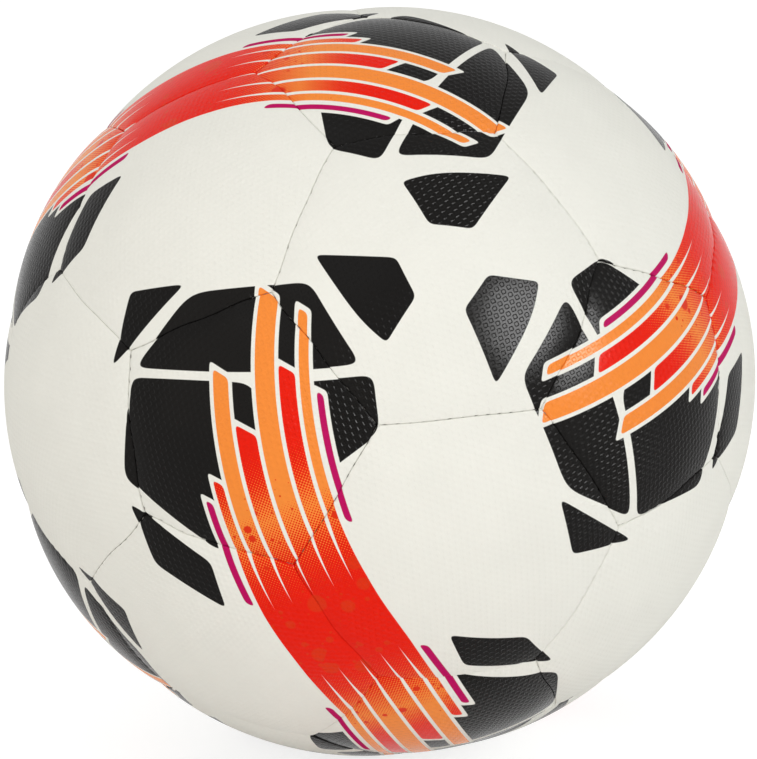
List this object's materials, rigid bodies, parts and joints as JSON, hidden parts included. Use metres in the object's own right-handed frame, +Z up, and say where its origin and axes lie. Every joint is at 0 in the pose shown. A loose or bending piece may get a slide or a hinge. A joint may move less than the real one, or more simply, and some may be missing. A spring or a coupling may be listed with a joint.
{
  "type": "soccer ball",
  "caption": "Stitched football with domed pentagon and hexagon panels over foam, lining and an air bladder with a needle valve.",
  "frame": {"origin": "centre of the ball", "axes": "+Z up from the lowest point, which rests on the ground; the printed front faces -Y and the valve faces +Y"},
  "size_m": [0.2196, 0.2186, 0.2186],
  "materials": {
    "pentagon_skin": "satin, finely embossed, printed",
    "hexagon_skin": "satin, finely embossed, printed",
    "foam": "matte closed-cell foam",
    "lining": "woven, bonded",
    "thread": "waxed twisted thread",
    "bladder": "matte",
    "valve": "matte",
    "core": "matte",
    "patch": "woven"
  },
  "bodies": {
    "root": {"pentagon_panel_01": "pentagon_skin", "pentagon_panel_02": "pentagon_skin", "pentagon_panel_03": "pentagon_skin", "pentagon_panel_04": "pentagon_skin", "pentagon_panel_05": "pentagon_skin", "pentagon_panel_06": "pentagon_skin", "pentagon_panel_07": "pentagon_skin", "pentagon_panel_08": "pentagon_skin", "pentagon_panel_09": "pentagon_skin", "pentagon_panel_10": "pentagon_skin", "pentagon_panel_11": "pentagon_skin", "pentagon_panel_12": "pentagon_skin", "hexagon_panel_01": "hexagon_skin", "hexagon_panel_02": "hexagon_skin", "hexagon_panel_03": "hexagon_skin", "hexagon_panel_04": "hexagon_skin", "hexagon_panel_05": "hexagon_skin", "hexagon_panel_06": "hexagon_skin", "hexagon_panel_07": "hexagon_skin", "hexagon_panel_08": "hexagon_skin", "hexagon_panel_09": "hexagon_skin", "hexagon_panel_10": "hexagon_skin", "hexagon_panel_11": "hexagon_skin", "hexagon_panel_12": "hexagon_skin", "hexagon_panel_13": "hexagon_skin", "hexagon_panel_14": "hexagon_skin", "hexagon_panel_15": "hexagon_skin", "hexagon_panel_16": "hexagon_skin", "hexagon_panel_17": "hexagon_skin", "hexagon_panel_18": "hexagon_skin", "hexagon_panel_19": "hexagon_skin", "hexagon_panel_20": "hexagon_skin", "pentagon_foams": "foam", "hexagon_foams": "foam", "pentagon_linings": "lining", "hexagon_linings": "lining", "seam_thread": "thread", "bladder": "bladder", "valve_housing": "valve", "valve_core": "core", "valve_patch": "patch"}
  },
  "joints": []
}
